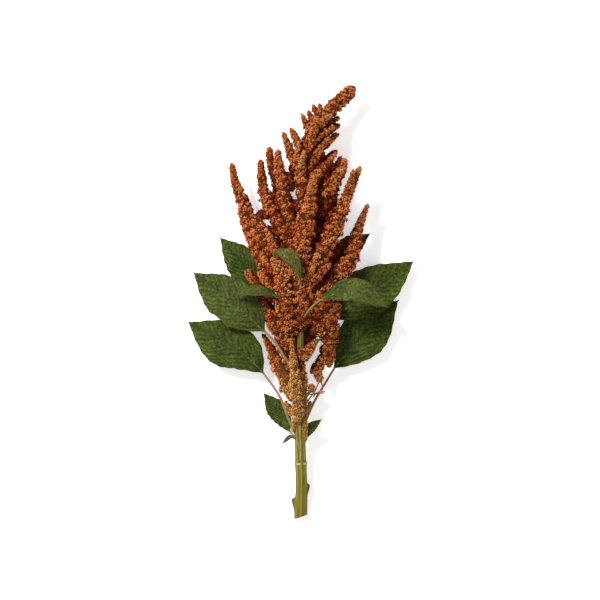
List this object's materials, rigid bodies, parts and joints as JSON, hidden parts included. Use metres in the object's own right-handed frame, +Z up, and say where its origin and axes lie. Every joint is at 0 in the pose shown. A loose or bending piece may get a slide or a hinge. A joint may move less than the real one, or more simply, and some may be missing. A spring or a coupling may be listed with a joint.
{
  "type": "amaranth seed head",
  "caption": "Cut stem of grain amaranth lying on its back: a branched, upright rust-brown seed head of pointed spikes, with broad green leaves on stalks round its lower half.",
  "frame": {"origin": "on the surface that the cut stem lies on, under the middle of its length and width", "axes": "+Y runs along the stem from its cut end to the tip of the seed head, +Z is up from the surface it lies on, and +X is to the right seen from above with the tip away from the viewer"},
  "size_m": [0.2237, 0.4331, 0.0776],
  "materials": {
    "stem_green": "satin, ribbed, pale olive green",
    "seed_rust": "dull, finely clustered, rust brown",
    "leaf_green": "soft satin, veined, dark green"
  },
  "bodies": {
    "root": {"stem": "stem_green", "seed_head": "seed_rust", "leaf_left_1": "leaf_green", "leaf_left_2": "leaf_green", "leaf_left_3": "leaf_green", "leaf_left_4": "leaf_green", "leaf_right_1": "leaf_green", "leaf_right_2": "leaf_green", "leaf_right_3": "leaf_green", "leaf_right_4": "leaf_green", "leaf_front": "leaf_green", "bract_left": "leaf_green", "bract_right": "leaf_green", "bract_low": "leaf_green"}
  },
  "joints": []
}
